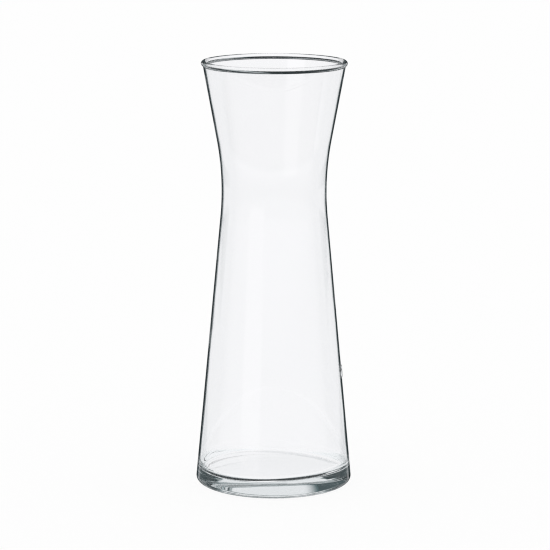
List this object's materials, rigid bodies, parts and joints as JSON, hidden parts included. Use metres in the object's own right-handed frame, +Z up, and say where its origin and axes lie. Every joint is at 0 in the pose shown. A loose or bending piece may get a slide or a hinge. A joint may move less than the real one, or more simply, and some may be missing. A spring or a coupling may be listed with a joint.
{
  "type": "glass carafe",
  "caption": "Open clear glass carafe or vase with a tapered body, a narrow waist, a flared mouth with a beaded rim and a thick base, for water, drinks or cut stems.",
  "frame": {"origin": "centre of the foot ring, on the plane that the carafe stands on", "axes": "+Z up along the axis of the vessel, out of its mouth; X and Y are any pair across it, because the form is round"},
  "size_m": [0.0956, 0.0956, 0.26],
  "materials": {
    "clear_glass": "clear, smooth and fire-polished, with a faint grey-green tint where the glass is thick"
  },
  "bodies": {
    "root": {"base": "clear_glass", "body": "clear_glass", "waist": "clear_glass", "neck": "clear_glass", "rim": "clear_glass"}
  },
  "joints": []
}
